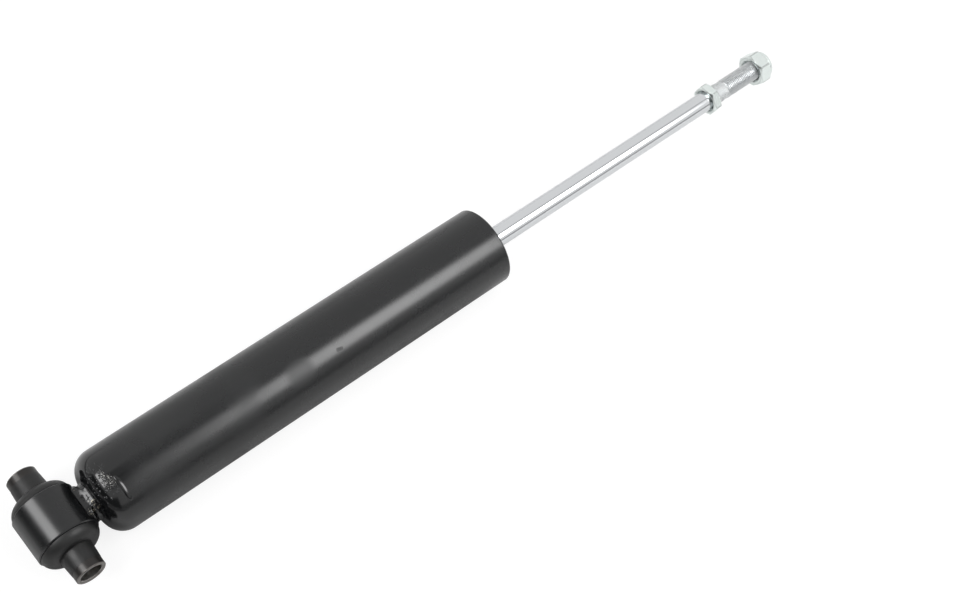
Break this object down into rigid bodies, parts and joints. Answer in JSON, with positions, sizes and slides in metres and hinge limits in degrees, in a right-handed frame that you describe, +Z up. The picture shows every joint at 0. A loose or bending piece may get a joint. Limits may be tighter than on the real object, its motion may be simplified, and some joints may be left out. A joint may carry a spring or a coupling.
{
  "type": "gas shock absorber",
  "caption": "Twin-tube gas shock absorber with a rubber-bushed eye at one end, a chromed rod and a threaded stud with nuts at the other.",
  "frame": {"origin": "centre of the lower eye's sleeve", "axes": "+X along the shock absorber from the eye to the stud, +Y along the eye's sleeve, +Z up with the tube lying on its side"},
  "size_m": [0.528, 0.064, 0.046],
  "materials": {
    "black_paint": "satin",
    "rubber": "matte",
    "dark_steel": "satin",
    "hard_chrome": "polished",
    "zinc_steel": "satin",
    "bright_steel": "satin",
    "spring_steel": "satin",
    "sintered_iron": "matte",
    "ptfe_bronze": "satin",
    "ptfe": "matte",
    "nylon": "satin"
  },
  "bodies": {
    "barrel": {"outer_tube": "black_paint", "eye_ring": "black_paint", "eye_weld": "black_paint", "rubber_bush": "rubber", "pressure_tube": "bright_steel", "base_valve_body": "sintered_iron", "base_valve_bolt": "bright_steel", "base_valve_washer": "bright_steel", "base_valve_nut": "bright_steel", "base_shims": "spring_steel", "base_intake_spring": "spring_steel", "rod_guide": "sintered_iron", "guide_bushing": "ptfe_bronze", "guide_o_ring": "rubber", "rod_seal": "rubber", "garter_spring": "spring_steel", "seal_plate": "bright_steel", "end_washer": "dark_steel"},
    "sleeve": {"inner_sleeve": "dark_steel"},
    "intake_valve": {"base_intake_plate": "spring_steel"},
    "band": {"piston_band": "ptfe"},
    "rod": {"piston_rod": "hard_chrome", "rebound_bumper": "rubber", "rebound_collar": "dark_steel", "piston_washer": "bright_steel", "check_spring": "spring_steel", "piston": "sintered_iron", "rebound_spring": "spring_steel", "piston_nut": "bright_steel", "lower_nut": "zinc_steel"},
    "check_valve": {"check_plate": "spring_steel"},
    "rebound_valve": {"rebound_shims": "spring_steel", "rebound_disc": "bright_steel"},
    "locknut": {"top_nut": "zinc_steel", "nylon_insert": "nylon"}
  },
  "joints": [
    {"name": "sleeve_twist", "type": "hinge", "parent": "barrel", "child": "sleeve", "pos_m": [0, 0, 0], "axis": [0, 1, 0], "range_deg": [-15, 15], "stiffness_Nm_per_rad": 46},
    {"name": "stroke", "type": "slide", "parent": "barrel", "child": "band", "axis": [1, 0, 0], "range_m": [-0.165, 0], "stiffness_N_per_m": 50, "springref_m": 2},
    {"name": "rod_turn", "type": "hinge", "parent": "band", "child": "rod", "pos_m": [0.2362, 0, 0], "axis": [1, 0, 0], "continuous": true},
    {"name": "check_lift", "type": "slide", "parent": "rod", "child": "check_valve", "axis": [1, 0, 0], "range_m": [0, 0.0009], "stiffness_N_per_m": 600, "springref_m": -0.003, "deforming": ["check_spring"]},
    {"name": "rebound_lift", "type": "slide", "parent": "rod", "child": "rebound_valve", "axis": [-1, 0, 0], "range_m": [0, 0.0009], "stiffness_N_per_m": 9000, "springref_m": -0.003, "deforming": ["rebound_spring"]},
    {"name": "intake_lift", "type": "slide", "parent": "barrel", "child": "intake_valve", "axis": [1, 0, 0], "range_m": [0, 0.0009], "stiffness_N_per_m": 500, "springref_m": -0.003, "deforming": ["base_intake_spring"]},
    {"name": "top_nut_travel", "type": "slide", "parent": "rod", "child": "locknut", "axis": [1, 0, 0], "range_m": [0, 0.045]}
  ]
}
